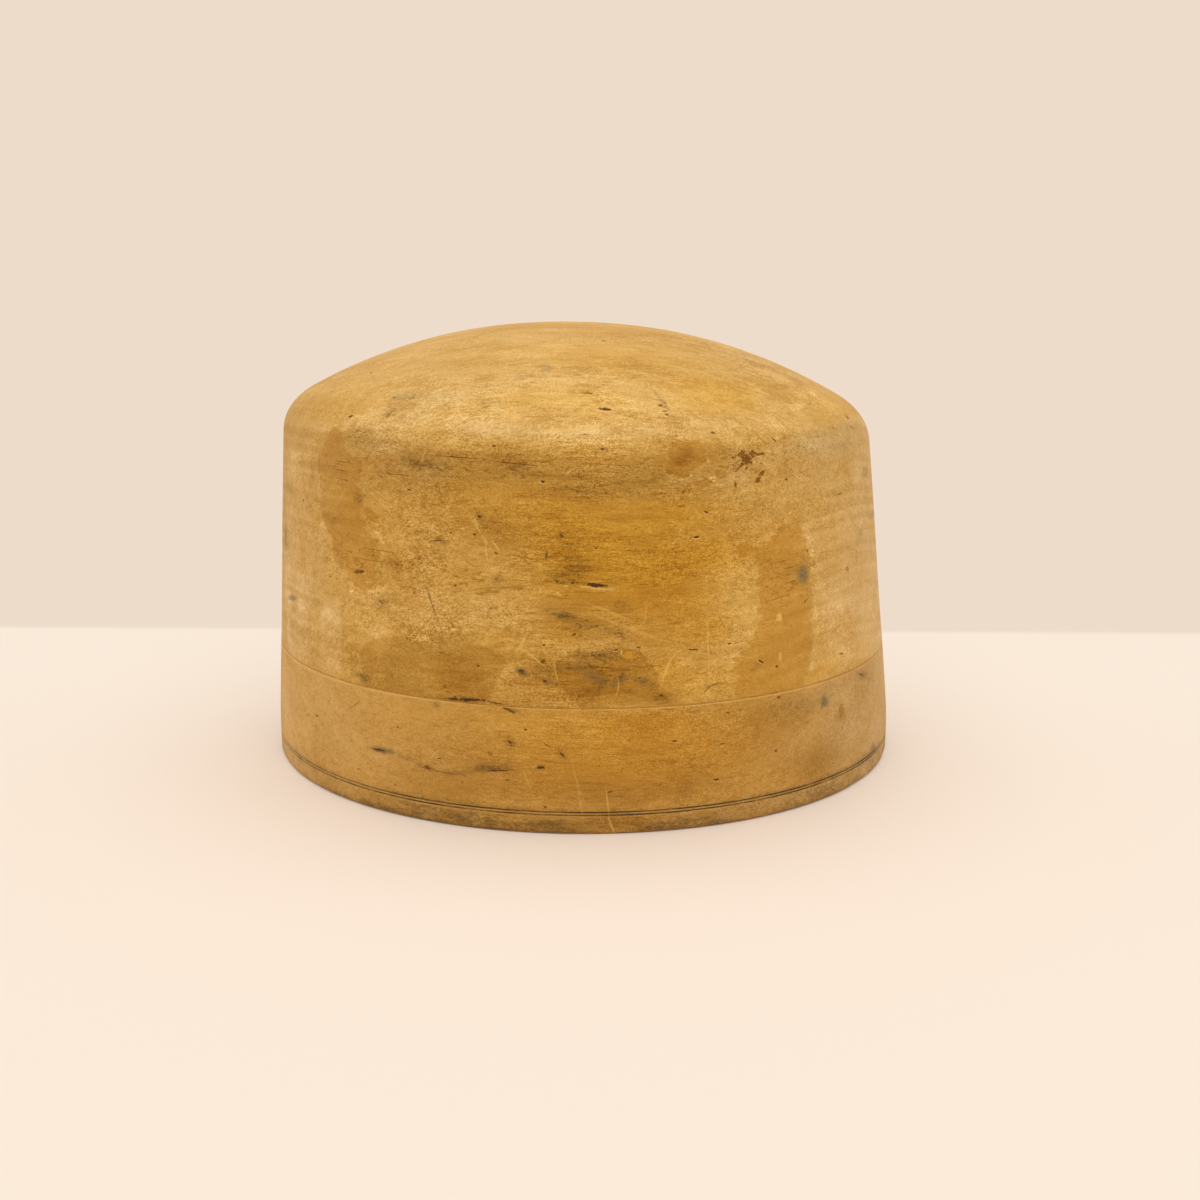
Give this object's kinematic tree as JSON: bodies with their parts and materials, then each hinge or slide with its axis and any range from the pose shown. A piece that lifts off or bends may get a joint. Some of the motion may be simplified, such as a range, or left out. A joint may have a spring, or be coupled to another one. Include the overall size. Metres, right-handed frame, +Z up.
{
  "type": "hat block",
  "caption": "Oval wooden crown block for shaping hats, glued from two boards, with raked sides, a domed top, a scribed cord line and a socket underneath.",
  "frame": {"origin": "centre of the underside, where the block stands", "axes": "+X along the oval towards the back of the hat, +Y across it, +Z up towards the dome"},
  "size_m": [0.1976, 0.162, 0.1327],
  "materials": {
    "plank_wood": "satin",
    "board_wood": "satin",
    "dowel_wood": "matte"
  },
  "bodies": {
    "root": {"crown_block": "plank_wood", "base_board": "board_wood", "dowel_front_left": "dowel_wood", "dowel_front_right": "dowel_wood", "dowel_back_left": "dowel_wood", "dowel_back_right": "dowel_wood"}
  },
  "joints": []
}
